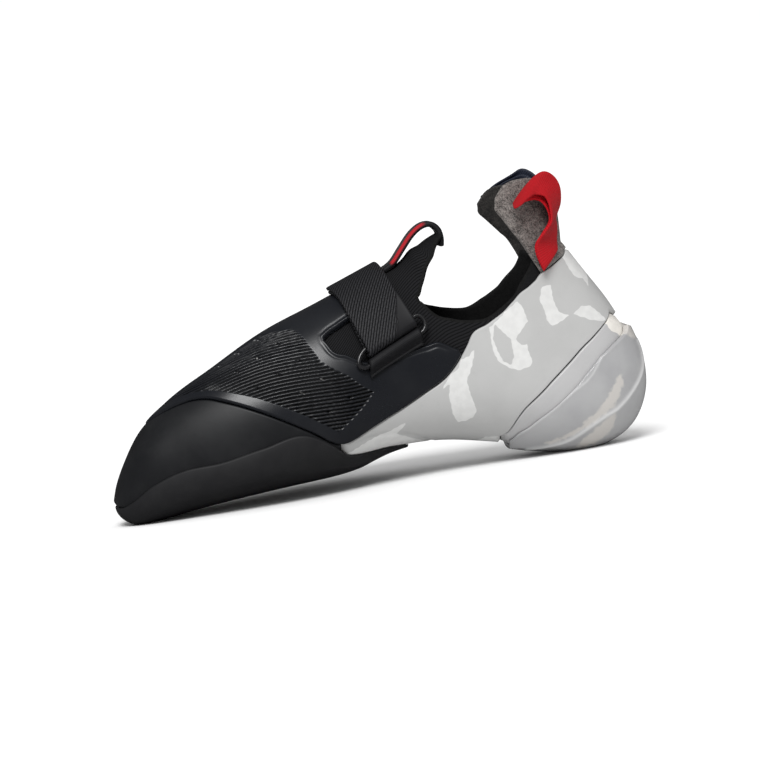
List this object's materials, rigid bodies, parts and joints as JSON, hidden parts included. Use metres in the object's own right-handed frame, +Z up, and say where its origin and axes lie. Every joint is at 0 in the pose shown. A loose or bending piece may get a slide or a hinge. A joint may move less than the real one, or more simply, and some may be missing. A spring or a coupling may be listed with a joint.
{
  "type": "climbing shoe",
  "caption": "Downturned slip-on climbing shoe for the right foot: knitted bootie, moulded toe patch, tensioned heel rand, clear heel cup and one strap through a wire ring.",
  "frame": {"origin": "the heel's flat rest spot on the floor, under the heel cup", "axes": "+Z up, -X towards the toe, -Y towards the medial side"},
  "size_m": [0.2524, 0.0915, 0.1292],
  "materials": {
    "black_knit": "ribbed knit",
    "insole_board": "matte",
    "sole_rubber": "matte",
    "black_rubber": "soft satin",
    "moulded_rubber": "satin",
    "camouflage_rubber": "satin, printed camouflage",
    "clear_rubber": "glossy translucent",
    "black_webbing": "twill webbing",
    "black_wire": "gloss black",
    "heather_suede": "napped",
    "red_webbing": "ribbed webbing",
    "navy_webbing": "ribbed webbing"
  },
  "bodies": {
    "root": {"upper_bootie": "black_knit", "insole": "insole_board", "outsole": "sole_rubber", "toe_rand": "black_rubber", "toe_patch": "moulded_rubber", "heel_rand": "camouflage_rubber", "heel_base": "camouflage_rubber", "heel_cup": "clear_rubber", "strap": "black_webbing", "strap_ring": "black_wire", "ring_tab": "black_webbing", "heel_tab_medial": "heather_suede", "heel_tab_lateral": "heather_suede", "pull_loop_medial": "red_webbing", "pull_loop_lateral": "navy_webbing", "tongue_loop": "black_webbing"}
  },
  "joints": []
}
